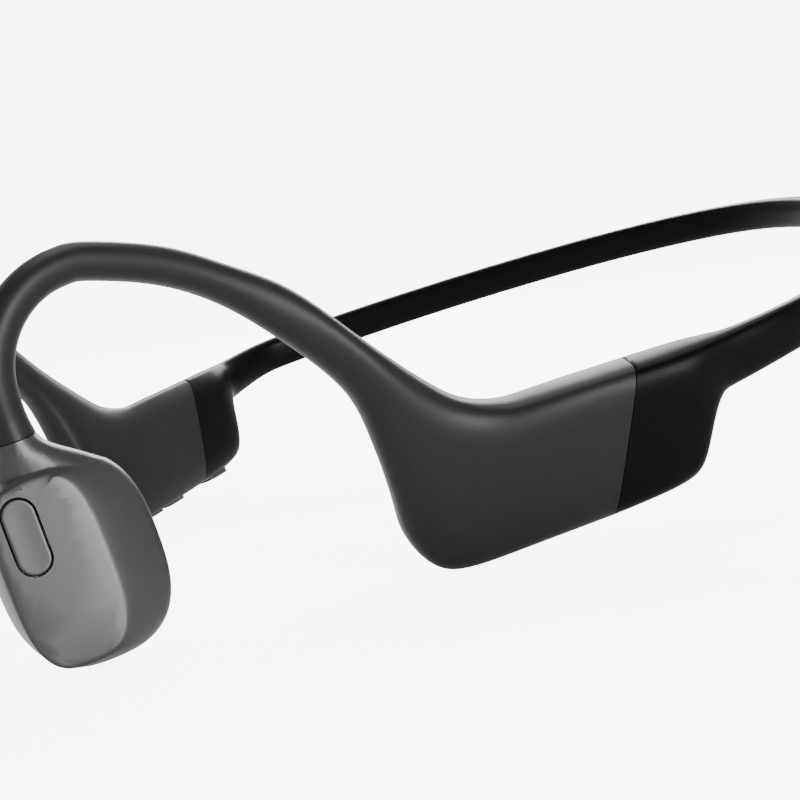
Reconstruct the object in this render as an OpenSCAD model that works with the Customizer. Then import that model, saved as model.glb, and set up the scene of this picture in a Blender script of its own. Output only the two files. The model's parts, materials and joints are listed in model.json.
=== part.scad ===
// Bone conduction headphones: two ear hooks, two vibration drivers, two side pods and a neckband.
// The parts are laid out as worn (X to the wearer's left, Y to the back, Z up) and are then tilted
// so that the drivers and the pods stand on the floor.

/* [Head fit] */
// Distance between the middle planes of the two pods at the tops of their seams
head_w = 126; // [114:1:136]
// Angle by which each pod points inwards towards the front
pod_toe = 24; // [18:1:28]
// Angle by which the bottom of each pod leans in under the ear
pod_lean = 8.5; // [4:0.5:12]
// Distance between the middle planes of the two drivers at their centres
driver_gap = 94; // [86:1:100]
// Angle by which the outer face of each driver turns to the front
driver_turn = 14; // [8:1:24]
// Angle by which the outer face of each driver looks upwards
driver_lift = 9; // [0:1:14]

/* [Neckband] */
// Reach of the neckband behind the tops of the seams
band_reach = 88; // [74:1:98]
// How far the band bows out sideways beyond the pods
band_bow = 7.5; // [5:0.1:9]
// Height of the band behind the pods
band_h = 6; // [5.4:0.1:7.2]
// Height of the band at the back of the neck
band_back_h = 5.2; // [4.6:0.1:6]
// Thickness of the band
band_t = 3.4; // [3.2:0.1:4.4]
// Diameter of the titanium wire in the band and hooks
wire_d = 0.9; // [0.7:0.05:1]
// Diameter of the cable that runs beside the wire
cable_d = 0.8; // [0.6:0.05:0.9]

/* [Ear hooks] */
// Diameter of the hook's tube over the ear
hook_d = 4.5; // [4.2:0.1:5.4]
// Inner radius of the bend over the front of the ear
hook_r = 9.6; // [8.8:0.1:11]
// Height of the bend's centre above the top of the pods
hook_rise = 21; // [18:0.5:24]
// Distance of the bend's centre in front of the seams' tops
hook_front = 60.2; // [57:0.2:63]

/* [Pods] */
// Height of each pod
pod_h = 18.2; // [17.4:0.1:22.4]
// Thickness of each pod
pod_t = 8.4; // [8:0.1:10.4]
// Length of each pod in front of the seam's top
pod_front = 33.2; // [31.2:0.2:37.2]
// Radius of the pod's lower front corner
pod_corner = 7; // [5.6:0.1:8]
// Length of the pod's rear block behind the seam's top
pod_rear = 4.5; // [4:0.1:7]
// Wall between a pod's outside and the inner case
skin_t = 1.3; // [1.1:0.1:1.6]
// Gap between the hook sheath and the neckband cover at the seam
seam_gap = 0.12; // [0.05:0.01:0.3]

/* [Inner cases] */
// Wall of the inner cases
case_wall = 0.7; // [0.5:0.05:0.9]
// Clearance between a part and the pocket that holds it
fit_gap = 0.1; // [0.05:0.01:0.2]
// Length of the battery cell
cell_l = 24; // [18:0.5:26]
// Thickness of the printed circuit boards
board_t = 0.8; // [0.6:0.1:1]

/* [Drivers] */
// Width of a driver from front to back
driver_w = 18.6; // [17.8:0.1:20.6]
// Height of a driver
driver_h = 24; // [22.6:0.1:27]
// Distance from the driver's middle plane to its outer facet
driver_out = 5.8; // [5.6:0.1:6.6]
// Distance from the driver's middle plane to its contact pad
driver_in = 6; // [5.8:0.1:6.8]
// Wall of the driver shells
driver_wall = 0.9; // [0.7:0.05:1.1]
// Diameter of the magnet
magnet_d = 8.6; // [7.6:0.1:8.8]
// Thickness of the magnet
magnet_t = 2.2; // [1.8:0.1:2.4]
// Travel of the magnet assembly each way
magnet_travel = 0.3; // [0.2:0.05:0.35]

/* [Keys] */
// Length of the multifunction button
button_l = 8.6; // [7.6:0.1:9]
// Width of the multifunction button
button_w = 3.8; // [3.2:0.1:4]
// Travel of the multifunction button
button_travel = 0.35; // [0.2:0.05:0.4]
// Gap around a button or key
key_gap = 0.15; // [0.1:0.01:0.25]
// Length of each volume key
key_l = 5; // [4:0.1:5.6]
// Travel of each volume key
key_travel = 0.3; // [0.2:0.05:0.35]

/* [Hidden] */

$fn = 48;
// Points round one ring of a skin, and rings between two stations of it
SIDES = 28;
DRIVER_SIDES = 40;
STEPS = 3;
// Points round the wires and cables, and round the channel that holds them
WIRE_SIDES = 8;

// How far the tops of the pods lie below the level that heights are measured from
pod_drop = 0.7;

// Outer radius and middle radius of the hook's bend
hook_outer_r = hook_r + hook_d;
hook_mid_r = hook_r + hook_d / 2;

// Inner case: its ends and edges in the pod's own frame (u to the back, v up, n outwards)
case_u0 = -(pod_front - skin_t - 1.7);
case_u1 = pod_rear - 2;
case_v0 = -(pod_h - skin_t - 1.3);
case_v1 = -(skin_t + 0.9);
case_n = pod_t / 2 - skin_t;
case_corner = pod_corner - skin_t - 0.6;
lid_t = 0.9;
case_top = case_n - lid_t;

// Clamp blocks that end the wires: half thickness, and their places in the pod frame
clamp_n = 1.8;
hook_clamp_u = [case_u0 - 0.3, case_u0 + 4.5];
hook_clamp_v = [case_v1 + fit_gap, case_v1 + 3.2];
band_clamp_u = [case_u1 + fit_gap, case_u1 + 3];
band_clamp_v = [-pod_h / 2 - 2, -pod_h / 2 + 2.6];

// Where the driver's neck meets the hook's stem
driver_at = [driver_gap / 2, -(hook_front + hook_mid_r) + 1.95, 1.5];
neck_z = 17;

// Driver outline in its own frame: middle, half width and half height
driver_u = 0.3;
half_w = driver_w / 2;
half_h = driver_h / 2;
seam_n = -1.5;

// ---------- points and frames ----------

function turned(p, turn, lean) =
    let (
        x = p[0] * cos(lean) + p[2] * sin(lean),
        z = -p[0] * sin(lean) + p[2] * cos(lean)
    )
    [x * cos(turn) + p[1] * sin(turn), -x * sin(turn) + p[1] * cos(turn), z];

// A point and a direction given in the left pod's frame
function pod(u, v, n = 0) = [head_w / 2, 0, -pod_drop] + turned([n, u, v], pod_toe, pod_lean);
pod_out = turned([1, 0, 0], pod_toe, pod_lean);

// The same for the left driver
function driver(u, v, n = 0) = driver_at + turned([n, u, v], driver_turn, -driver_lift);
driver_out_way = turned([1, 0, 0], driver_turn, -driver_lift);

// A point of the left hook, given by its distance back and its height: the hook runs straight
// above the driver and swings out to the pod
hook_end = pod(2.2 - pod_front, 14);
function hook_x(y) = driver_gap / 2 + (hook_end[0] - driver_gap / 2) * exp((y - hook_end[1]) / 8);
function hook_pt(y, z) = [hook_x(y), y, z];
function unit(v) = v / norm(v);

module in_pod() {
    translate([head_w / 2, 0, -pod_drop]) rotate([0, 0, -pod_toe]) rotate([0, pod_lean, 0]) children();
}

module in_driver() {
    translate(driver_at) rotate([0, 0, -driver_turn]) rotate([0, -driver_lift, 0]) children();
}

module right_side() {
    mirror([1, 0, 0]) children();
}

// ---------- skins drawn through stations ----------

// A station is [top point, bottom point, [thickness, squareness, 0], thickness direction]
function station(top, bottom, t, square, dir) = [top, bottom, [t, square, 0], unit(dir)];

function between(a, b, c, d, t) =
    ((2 * b) + (c - a) * t + (2 * a - 5 * b + 4 * c - d) * pow(t, 2)
    + (3 * b - a - 3 * c + d) * pow(t, 3)) / 2;

function smooth(s, steps) =
    let (last = len(s) - 1)
    [
        for (i = [0:last - 1], k = [0:steps - 1])
            between(s[max(i - 1, 0)], s[i], s[i + 1], s[min(i + 2, last)], k / steps),
        s[last]
    ];

function power(x, e) = sign(x) * pow(abs(x), e);

function ring(s, sides) =
    let (
        mid = (s[0] + s[1]) / 2,
        up = (s[0] - s[1]) / 2,
        out = unit(s[3]) * s[2][0] / 2,
        e = 2 / s[2][1]
    )
    [
        for (i = [0:sides - 1])
            mid + up * power(cos(360 * i / sides), e) + out * power(sin(360 * i / sides), e)
    ];

module skin(rings) {
    n = len(rings[0]);
    m = len(rings);
    polyhedron(
        points = [for (r = rings) each r],
        faces = [
            [for (i = [0:n - 1]) i],
            [for (i = [n - 1:-1:0]) (m - 1) * n + i],
            for (j = [0:m - 2], i = [0:n - 1])
                each [
                    [j * n + i, (j + 1) * n + (i + 1) % n, j * n + (i + 1) % n],
                    [j * n + i, (j + 1) * n + i, (j + 1) * n + (i + 1) % n]
                ]
        ],
        convexity = 8
    );
}

// ---------- stations of the hook and the pod's front ----------

function bend_station(a) =
    station(
        hook_pt(-hook_front + hook_outer_r * cos(a), hook_rise + hook_outer_r * sin(a)),
        hook_pt(-hook_front + hook_r * cos(a), hook_rise + hook_r * sin(a)),
        hook_d, 2.2, [1, 0, 0]
    );

// The stem under the bend, with its foot where it meets the driver's neck
stem_y = -hook_front - hook_mid_r;

function stem_station(z, d) =
    station(hook_pt(stem_y - d / 2, z), hook_pt(stem_y + d / 2, z), d, 2.2, [1, 0, 0]);

stem_stations = [stem_station(neck_z, hook_d + 0.5), stem_station((neck_z + hook_rise) / 2, hook_d)];

bend_stations = [for (a = [180:-15:75]) bend_station(a)];

// The long slope from the bend down to the pod: steps back and down from the bend's centre,
// then the tube's width there
slope_stations = [
    station(
        hook_pt(-hook_front + 12.2, hook_rise + 10.3), hook_pt(-hook_front + 9.8, hook_rise + 6.4),
        hook_d, 2.2, [1, 0, 0]
    ),
    station(
        hook_pt(-hook_front + 18.8, hook_rise + 5.9), hook_pt(-hook_front + 15.9, hook_rise + 2.4),
        hook_d + 0.1, 2.2, [1, 0, 0]
    ),
    station(
        hook_pt(-hook_front + 25.4, hook_rise + 0.5), hook_pt(-hook_front + 21.4, hook_rise - 3.5),
        hook_d + 0.4, 2.3, turned([1, 0, 0], pod_toe / 4, pod_lean / 4)
    ),
    station(
        pod(2.2 - pod_front, 14), pod(-1.6 - pod_front, 8.6), hook_d + 1.2, 2.4,
        turned([1, 0, 0], pod_toe * 0.6, pod_lean * 0.6)
    )
];

function corner(a) = [
    -pod_front + pod_corner + pod_corner * cos(a), -pod_h + pod_corner + pod_corner * sin(a)
];

function pod_station(top, bottom, t, square) =
    station(pod(top[0], top[1]), pod(bottom[0], bottom[1]), t, square, pod_out);

// The seam slants forwards from the pod's top to its bottom
seam_foot = [-7.6, -pod_h + 0.1];

// The top edge falls into the pod while the bottom edge runs down its front and round the corner
front_stations = [
    pod_station([7.8 - pod_front, 6.7], [-0.3 - pod_front, 0.5], hook_d + 2.2, 2.6),
    pod_station([11.9 - pod_front, 2.6], [-pod_front, -6.5], pod_t - 1.2, 3),
    pod_station([16.6 - pod_front, 0.7], corner(183), pod_t - 0.7, 3.6),
    pod_station([20.4 - pod_front, 0.4], corner(225), pod_t - 0.2, 4.2),
    pod_station([24.2 - pod_front, 0.3], corner(262), pod_t, 4.6),
    pod_station([-6, 0.2], [-17, -pod_h], pod_t, 4.8),
    pod_station([-seam_gap / 2, 0], seam_foot - [seam_gap / 2, 0], pod_t, 4.8)
];

sheath_stations = smooth(
    concat(stem_stations, bend_stations, slope_stations, front_stations), STEPS
);

// ---------- stations of the neckband ----------

rear_stations = [
    pod_station([seam_gap / 2, 0], seam_foot + [seam_gap / 2, 0], pod_t, 4.8),
    pod_station([pod_rear - 1.6, -0.1], [pod_rear - 5.5, -pod_h + 0.4], pod_t, 4.8),
    pod_station([pod_rear + 1.4, -0.15], [pod_rear - 0.4, -pod_h + 1.1], pod_t - 0.2, 4.4),
    pod_station([pod_rear + 3.4, -0.2], [pod_rear + 1.7, -pod_h + 3.1], pod_t - 0.7, 4),
    pod_station([pod_rear + 5, -0.3], [pod_rear + 3.6, -pod_h + 6.8], pod_t - 1.6, 3.6),
    pod_station([pod_rear + 7, -0.4], [pod_rear + 5.9, -pod_h + 10.2], pod_t - 2.9, 3.2),
    pod_station([pod_rear + 9.5, -0.5], [pod_rear + 8.8, -band_h - 1.5], pod_t - 4.2, 3)
];

// Plan of the band's middle line, a curve with four control points, and its rise to the back
band_plan = [
    [head_w / 2 + band_bow, 22], [head_w / 2 + band_bow - 1, 38], [38, band_reach], [0, band_reach]
];
band_slope = 0.008;

function bezier(p, t) =
    pow(1 - t, 3) * p[0] + 3 * t * pow(1 - t, 2) * p[1] + 3 * t * t * (1 - t) * p[2] + pow(t, 3) * p[3];

function bezier_way(p, t) =
    unit(pow(1 - t, 2) * (p[1] - p[0]) + 2 * t * (1 - t) * (p[2] - p[1]) + t * t * (p[3] - p[2]));

function band_top_z(y) = -pod_drop - 0.3 + band_slope * y;

function band_station(t) =
    let (
        at = bezier(band_plan, t),
        way = bezier_way(band_plan, t),
        z = band_top_z(at[1]),
        h = band_h + (band_back_h - band_h) * t
    )
    station([at[0], at[1], z], [at[0], at[1], z - h], band_t, 3, [way[1], -way[0], 0]);

BAND_STEPS = 8;
half_band = concat(rear_stations, [for (k = [0:BAND_STEPS]) band_station(k / BAND_STEPS)]);

function mirrored(p) = [-p[0], p[1], p[2]];

// The right half is the left half's mirror image
function other_half(s) = [
    for (i = [len(s) - 2:-1:0])
        [mirrored(s[i][0]), mirrored(s[i][1]), s[i][2], mirrored(s[i][3])]
];
band_stations = smooth(concat(half_band, other_half(half_band)), 2);

// ---------- wires and cables along the middle of a skin ----------

// A round or oval strand beside the middle line: shift moves it towards the top edge
function strand(s, shift, d, t) =
    let (mid = (s[0] + s[1]) / 2, up = unit(s[0] - s[1]))
    [mid + up * (shift + d / 2), mid + up * (shift - d / 2), [t, 2, 0], s[3]];

function strand_rings(list, shift, d, t) = [for (s = list) ring(strand(s, shift, d, t), WIRE_SIDES)];

// The hook's strands start in the driver's neck and end in the clamp at the pod's upper front
clamp_index = (len(stem_stations) + len(bend_stations) + len(slope_stations)) * STEPS + STEPS - 1;
hook_run = concat(
    [stem_station(neck_z - 3.5, hook_d)],
    [for (i = [0:2:clamp_index]) sheath_stations[i]]
);

// The band's strands run from one band clamp to the other
BAND_SKIP = 4;
band_run = [for (i = [BAND_SKIP:2:len(band_stations) - 1 - BAND_SKIP]) band_stations[i]];

wire_shift = wire_d / 2 + 0.1;
cable_shift = -(cable_d / 2 + 0.1);
channel_h = 2 * (wire_d + 0.1 + 2 * fit_gap);
channel_t = wire_d + 4 * fit_gap;

module strands(run, shift, d) {
    skin(strand_rings(run, shift, d, d));
}

module channel(run) {
    skin(strand_rings(run, 0, channel_h, channel_t));
}

// ---------- pockets and blocks ----------

// A plate in the pod's frame with rounded corners, from n0 to n1 in thickness
module rounded_plate(u0, u1, v0, v1, r, n0, n1) {
    translate([n0, 0, 0]) rotate([90, 0, 90]) linear_extrude(n1 - n0) union() {
        translate([u0 + r, v0]) square([u1 - u0 - 2 * r, v1 - v0]);
        translate([u0, v0 + r]) square([u1 - u0, v1 - v0 - 2 * r]);
        for (u = [u0 + r, u1 - r], v = [v0 + r, v1 - r]) translate([u, v]) circle(r);
    }
}

module case_body(grow, n0, n1) {
    rounded_plate(
        case_u0 - grow, case_u1 + grow, case_v0 - grow, case_v1 + grow, case_corner + grow, n0, n1
    );
}

module clamp_box(u, v, grow) {
    translate([-clamp_n - grow, u[0] - grow, v[0] - grow])
        cube([2 * (clamp_n + grow), u[1] - u[0] + 2 * grow, v[1] - v[0] + 2 * grow]);
}

module pod_pockets() {
    in_pod() {
        case_body(fit_gap, -case_n - fit_gap, case_n + fit_gap);
        clamp_box(hook_clamp_u, hook_clamp_v, fit_gap);
        clamp_box(band_clamp_u, band_clamp_v, fit_gap);
    }
}

// A plate with round ends, lying along u, seen from below
module pill(length, width, h) {
    linear_extrude(h) union() {
        for (s = [-1, 1]) translate([0, s * (length - width) / 2]) circle(width / 2);
        square([width, length - width], center = true);
    }
}

// ---------- hook sheaths and neckband cover ----------

module hook_sheath() {
    difference() {
        skin([for (s = sheath_stations) ring(s, SIDES)]);
        channel(hook_run);
        pod_pockets();
    }
}

module left_hook_sheath() {
    color("dimgray") hook_sheath();
}

module right_hook_sheath() {
    color("dimgray") right_side() difference() {
        hook_sheath();
        in_pod() for (u = key_us) translate([0, u, 0]) {
            translate([0, 0, -pod_h - 1]) pill(key_l + 2 * key_gap, key_w + 2 * key_gap, 3);
            translate([0, 0, key_flange_v - key_gap])
                pill(key_l + 2 * key_rim + 2 * key_gap, key_w + 2 * key_rim + 2 * key_gap, 2);
        }
    }
}

module neckband_cover() {
    color([0.09, 0.09, 0.1]) difference() {
        skin([for (s = band_stations) ring(s, SIDES)]);
        channel(band_run);
        pod_pockets();
        right_side() {
            pod_pockets();
            in_pod() {
                translate([0, port_u, -pod_h - 1]) pill(port_l + 2 * fit_gap, port_w + 2 * fit_gap, 4);
                translate([0, light_u, -pod_h - 1]) cylinder(h = 4, r = light_r + fit_gap / 2);
            }
        }
    }
}

// ---------- wires, cables and their clamps ----------

module left_hook_wire() {
    color("silver") strands(hook_run, wire_shift, wire_d);
}

module right_hook_wire() {
    color("silver") right_side() strands(hook_run, wire_shift, wire_d);
}

module band_wire() {
    color("silver") strands(band_run, wire_shift, wire_d);
}

module left_hook_cable() {
    color("firebrick") strands(hook_run, cable_shift, cable_d);
}

module right_hook_cable() {
    color("firebrick") right_side() strands(hook_run, cable_shift, cable_d);
}

module band_cable() {
    color("firebrick") strands(band_run, cable_shift, cable_d);
}

// The slot takes both strands with room at their sides
module hook_clamp() {
    in_pod() difference() {
        clamp_box(hook_clamp_u, hook_clamp_v, 0);
        translate([-channel_t / 2 - fit_gap, hook_clamp_u[0] + 0.7, hook_clamp_v[1] - 2.6])
            cube([channel_t + 2 * fit_gap, hook_clamp_u[1] - hook_clamp_u[0] - 1.4, 3]);
    }
}

module band_clamp() {
    in_pod() difference() {
        clamp_box(band_clamp_u, band_clamp_v, 0);
        translate([-channel_t / 2 - fit_gap, band_clamp_u[0] + 0.7, band_clamp_v[0] + 0.5])
            cube([channel_t + 2 * fit_gap, 4, band_clamp_v[1] - band_clamp_v[0] - 1]);
    }
}

module left_hook_clamp() {
    color("goldenrod") hook_clamp();
}

module right_hook_clamp() {
    color("goldenrod") right_side() hook_clamp();
}

module left_band_clamp() {
    color("goldenrod") band_clamp();
}

module right_band_clamp() {
    color("goldenrod") right_side() band_clamp();
}

// ---------- inner cases, battery and electronics ----------

module inner_case() {
    in_pod() difference() {
        case_body(0, -case_n, case_top);
        case_body(-case_wall, -case_n + case_wall, case_n);
    }
}

// The lid closes the case and has a lip that stands inside it
module inner_lid() {
    in_pod() union() {
        case_body(0, case_top, case_n);
        difference() {
            case_body(-case_wall - fit_gap, case_top - 0.6, case_top + 0.1);
            case_body(-case_wall - fit_gap - 0.6, case_top - 1, case_top);
        }
    }
}

cell_u0 = case_u0 + case_wall + 1.9;
cell_v = [case_v0 + case_wall + 1, case_v1 - case_wall - 1];
cell_t = 2 * case_n - 2 * case_wall - lid_t - 0.4;
floor_n = -case_n + case_wall;

module battery_case() {
    color("darkslategray") inner_case();
}

module battery_lid() {
    color("slategray") inner_lid();
}

module battery_cell() {
    color("lightsteelblue") in_pod()
        rounded_plate(cell_u0, cell_u0 + cell_l, cell_v[0], cell_v[1], 1.2, floor_n, floor_n + cell_t);
}

// The protection board stands between the cell and the case's rear wall
module battery_board() {
    color("seagreen") in_pod() union() {
        translate([floor_n, cell_u0 + cell_l + 0.4, cell_v[0]])
            cube([cell_t, board_t, cell_v[1] - cell_v[0]]);
        for (v = [0.25, 0.6])
            translate([floor_n + 1, cell_u0 + cell_l + 0.4 + board_t, cell_v[0] + v * (cell_v[1] - cell_v[0])])
                cube([1.8, 0.8, 1.8]);
    }
}

module circuit_case() {
    color("darkslategray") right_side() inner_case();
}

module circuit_lid() {
    color("slategray") right_side() inner_lid();
}

board_u = [case_u0 + case_wall + 1.9, case_u1 - case_wall - 0.6];
board_n = floor_n + 1.6;
board_v = [case_v0 + case_wall + 0.9, case_v1 - case_wall - 0.6];
board_corner = case_corner - case_wall - 0.6;

module main_board() {
    color("seagreen") right_side() in_pod() union() {
        rounded_plate(
            board_u[0], board_u[1], board_v[0], board_v[1], board_corner, board_n, board_n + board_t
        );
        for (u = [board_u[0] + 3, board_u[1] - 3], v = [board_v[0] + 2.4, board_v[1] - 2.4])
            translate([floor_n, u, v]) rotate([0, 90, 0]) cylinder(h = board_n - floor_n, r = 0.8);
    }
}

// Each chip stands on the board: place along u and v, then its size
chips = [[4, 2.2, 4.5, 4.5], [4.4, 7.5, 3, 2.2], [10.6, 1.6, 2, 2.6], [10.4, 7.2, 3.4, 2.4]];

module board_chips() {
    color([0.15, 0.15, 0.16]) right_side() in_pod()
        for (c = chips)
            translate([board_n + board_t, board_u[0] + c[0], board_v[0] + c[1]]) cube([0.9, c[2], c[3]]);
}

module shield_can() {
    color("silver") right_side() in_pod() difference() {
        translate([board_n + board_t, board_u[0] + 15.2, board_v[0] + 2.4]) cube([1.6, 8, 7]);
        translate([board_n + board_t - 1, board_u[0] + 15.4, board_v[0] + 2.6]) cube([2.4, 7.6, 6.6]);
    }
}

module antenna() {
    color("white") right_side() in_pod()
        translate([board_n + board_t, board_u[1] - 4.6, board_v[1] - 3.2]) cube([1.2, 3.4, 1.6]);
}

// ---------- volume keys, charging port and light, all under the right pod ----------

key_w = 2.6;
key_rim = 0.35;
key_us = [-20.2, -14];
key_out = 0.75;
key_flange_v = -pod_h + 0.9;
key_flange_t = 0.35;

module volume_key(u) {
    right_side() in_pod() translate([0, u, 0]) union() {
        translate([0, 0, -pod_h - key_out]) pill(key_l, key_w, key_flange_v + pod_h + key_out);
        translate([0, 0, key_flange_v]) pill(key_l + 2 * key_rim, key_w + 2 * key_rim, key_flange_t);
    }
}

module volume_up_key() {
    color("black") volume_key(key_us[0]);
}

module volume_down_key() {
    color("black") volume_key(key_us[1]);
}

// One strip under the case carries a switch for each key
switch_gap = 0.1;
strip_v = case_v0 - fit_gap - 0.25;

module volume_switches() {
    color("orange") right_side() in_pod() for (u = key_us) translate([0, u, 0]) union() {
        translate([0, 0, strip_v]) pill(key_l - 0.4, key_w, 0.25);
        translate([0, 0, key_flange_v + key_flange_t + key_travel + switch_gap])
            cylinder(h = strip_v - key_flange_v - key_flange_t - key_travel - switch_gap + 0.1, r = 0.7);
    }
}

port_u = -1.5;
port_l = 6;
port_w = 4;
port_out = 0.3;
port_top = case_v0 - fit_gap - 0.2;
contact_r = 0.6;

module charging_port() {
    color([0.12, 0.12, 0.13]) right_side() in_pod() difference() {
        translate([0, port_u, -pod_h - port_out]) pill(port_l, port_w, port_top + pod_h + port_out);
        for (s = [-1, 1]) translate([0, port_u + s * 1.1, -pod_h - 1])
            cylinder(h = 4, r = contact_r + fit_gap / 2);
        for (s = [-1, 1]) translate([s * 1.35 - 0.3, port_u - 1, port_top - 1]) cube([0.6, 2, 1.2]);
    }
}

module charging_contacts() {
    color("gold") right_side() in_pod() for (s = [-1, 1])
        translate([0, port_u + s * 1.1, -pod_h - port_out + 0.1])
            cylinder(h = port_top + pod_h + port_out - 0.1, r = contact_r);
}

module charging_magnets() {
    color("gray") right_side() in_pod() for (s = [-1, 1])
        translate([s * 1.35 - 0.25, port_u - 0.95, port_top - 0.95]) cube([0.5, 1.9, 0.95]);
}

light_u = -6.1;
light_r = 0.5;

module status_light() {
    color("white") right_side() in_pod() translate([0, light_u, -pod_h + 0.1])
        cylinder(h = case_v0 - fit_gap - 0.3 + pod_h, r = light_r);
}

// ---------- driver shells ----------

// One ring of a driver skin: n, then insets at the front, rear, bottom and top, then squareness
function driver_ring(n, front, rear, low, high, square) =
    ring([
        [n, driver_u + (front - rear) / 2, half_h - high],
        [n, driver_u + (front - rear) / 2, -half_h + low],
        [driver_w - front - rear, square, 0],
        [0, -1, 0]
    ], DRIVER_SIDES);

// How much shorter a driver is at the seam than at its outer side
seam_low = 1;

// From the seam outwards: a straight side, then a bevel that is widest at the rear, then the facet
shell_rows = [
    [0, 0, 0, seam_low, 0, 2.7], [2.7, 0, 0, 0.7, 0, 2.7], [4.4, 0.1, 0.4, 0.8, 0.1, 2.7],
    [5.2, 0.2, 1.5, 1.1, 0.3, 2.8], [6.9, 0.5, 5.4, 1.5, 1, 3.1],
    [7.2, 0.7, 6.4, 1.7, 1.4, 3.3], [7.3, 1, 6.8, 2, 1.7, 3.4]
];

// From the seam inwards: a short side, then a round edge to the contact pad
cover_rows = [
    [0, 0, 0, seam_low, 0, 2.7], [0.5, 0.15, 0.15, 1.2, 0.15, 2.7], [0.8, 0.7, 0.7, 1.7, 0.7, 2.6],
    [0.95, 1.6, 1.6, 2.6, 1.6, 2.5], [1, 2.4, 2.4, 3.4, 2.4, 2.5]
];

shell_depth = driver_out - seam_n;
cover_depth = driver_in + seam_n - seam_gap;

function shell_skin(wall, start) = [
    for (r = shell_rows)
        driver_ring(
            seam_n + start + r[0] / 7.3 * (shell_depth - wall - start),
            r[1] + wall, r[2] + wall, r[3] + wall, r[4] + wall, r[5]
        )
];

function cover_skin(wall, start) = [
    for (i = [len(cover_rows) - 1:-1:0])
        let (r = cover_rows[i])
            driver_ring(
                seam_n - seam_gap + start - r[0] * (cover_depth - wall + start),
                r[1] + wall, r[2] + wall, r[3] + wall, r[4] + wall, r[5]
            )
];

// The neck rises from the shell to the hook's stem: v, then u and n of its middle, width, thickness
neck_rows = [
    [7.6, 0.2, 1.9, 14, 6.4], [10.4, -0.2, 2.1, 12, 6.3], [12.4, -1, 2.3, 9, 6.2]
];

neck_stations = concat(
    [
        for (r = neck_rows)
            station(
                driver(r[1] - r[3] / 2, r[0], r[2]), driver(r[1] + r[3] / 2, r[0], r[2]),
                r[4], 2.2, driver_out_way
            )
    ],
    [stem_station(neck_z - 1.4, hook_d + 1.3), stem_station(neck_z - seam_gap, hook_d + 0.5)]
);

neck_bore_r = 1.8;
plug_bottom = neck_z - 5;

module stem_axis(z) {
    translate([driver_gap / 2, stem_y, z]) children();
}

module driver_shell() {
    difference() {
        union() {
            in_driver() skin(shell_skin(0, 0));
            skin([for (s = neck_stations) ring(s, SIDES)]);
        }
        in_driver() skin(shell_skin(driver_wall, -0.5));
        stem_axis(plug_bottom) cylinder(h = neck_z - plug_bottom + 1, r = neck_bore_r);
    }
}

// The button's place on the facet
button_u = -4.6;
button_v = 4.8;
button_rim = 0.2;
facet_wall = driver_out - driver_wall;
button_flange_t = 0.4;
switch_n = driver_out - driver_wall - 0.1 - button_flange_t - button_travel - switch_gap;

module button_pill(grow, n0, n1) {
    translate([n0, button_u, button_v]) rotate([0, 90, 0]) linear_extrude(n1 - n0) union() {
        for (s = [-1, 1]) translate([s * (button_l - button_w) / 2, 0]) circle(button_w / 2 + grow);
        square([button_l - button_w, button_w + 2 * grow], center = true);
    }
}

module left_driver_shell() {
    color([0.2, 0.2, 0.21]) difference() {
        driver_shell();
        in_driver() button_pill(key_gap, facet_wall - 1, driver_out + 1);
        in_driver() button_pill(button_rim + key_gap, facet_wall - 1.6, facet_wall);
    }
}

// The microphone listens through a small hole in the bottom of the right shell
mic_at = [0.6, 0.6];
mic_hole_r = 0.4;

module right_driver_shell() {
    color([0.2, 0.2, 0.21]) right_side() difference() {
        driver_shell();
        in_driver() translate([mic_at[0], mic_at[1], -half_h - 1]) cylinder(h = 3, r = mic_hole_r);
    }
}

module driver_cover() {
    in_driver() difference() {
        skin(cover_skin(0, 0));
        skin(cover_skin(driver_wall, 0.5));
    }
}

module left_driver_cover() {
    color([0.5, 0.5, 0.52]) driver_cover();
}

module right_driver_cover() {
    color([0.5, 0.5, 0.52]) right_side() driver_cover();
}

// A soft ring inside the walls bridges the seam between shell and cover
gasket_t = 0.45;

function even_ring(n, inset) = driver_ring(n, inset, inset, inset + seam_low, inset, 2.7);

module gasket() {
    grow = driver_wall + 0.15;
    in_driver() difference() {
        skin([for (n = [seam_n - 0.6, seam_n + 0.5]) even_ring(n, grow)]);
        skin([for (n = [seam_n - 1, seam_n + 1]) even_ring(n, grow + gasket_t)]);
    }
}

module left_driver_gasket() {
    color("gray") gasket();
}

module right_driver_gasket() {
    color("gray") right_side() gasket();
}

// The plug fills the neck round the two strands
module driver_plug() {
    stem_axis(plug_bottom) difference() {
        cylinder(h = neck_z - plug_bottom - seam_gap, r = neck_bore_r - 0.05);
        translate([-channel_t / 2 - fit_gap, -channel_h / 2 - fit_gap, -1])
            cube([channel_t + 2 * fit_gap, channel_h + 2 * fit_gap, neck_z]);
    }
}

module left_driver_plug() {
    color("dimgray") driver_plug();
}

module right_driver_plug() {
    color("dimgray") right_side() driver_plug();
}

// ---------- the vibration driver, stacked along n ----------

axis_u = -0.2;
axis_v = -0.6;
frame_r = 7.2;
foot_r = 5.6;
floor_in = -driver_in + driver_wall + 0.15;
foot_h = 1.05;
frame_floor = floor_in + 1.35;
rim_n = 2.1;
spring_t = 0.2;
cup_wall = 0.9;
coil_gap = 0.2;
coil_t = 0.6;
cup_r = magnet_d / 2 + 2 * coil_gap + coil_t + cup_wall;
cup_room = 0.3;
cup_top = rim_n - magnet_travel - 0.1;
magnet_top = cup_top - 1;
plate_t = 0.8;
magnet_bottom = magnet_top - magnet_t;
post_r = 1;
hub_gap = 0.05;
nut_n = rim_n + spring_t + magnet_travel + 0.1;

module on_axis(n) {
    in_driver() translate([n, axis_u, axis_v]) rotate([0, 90, 0]) children();
}

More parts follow.
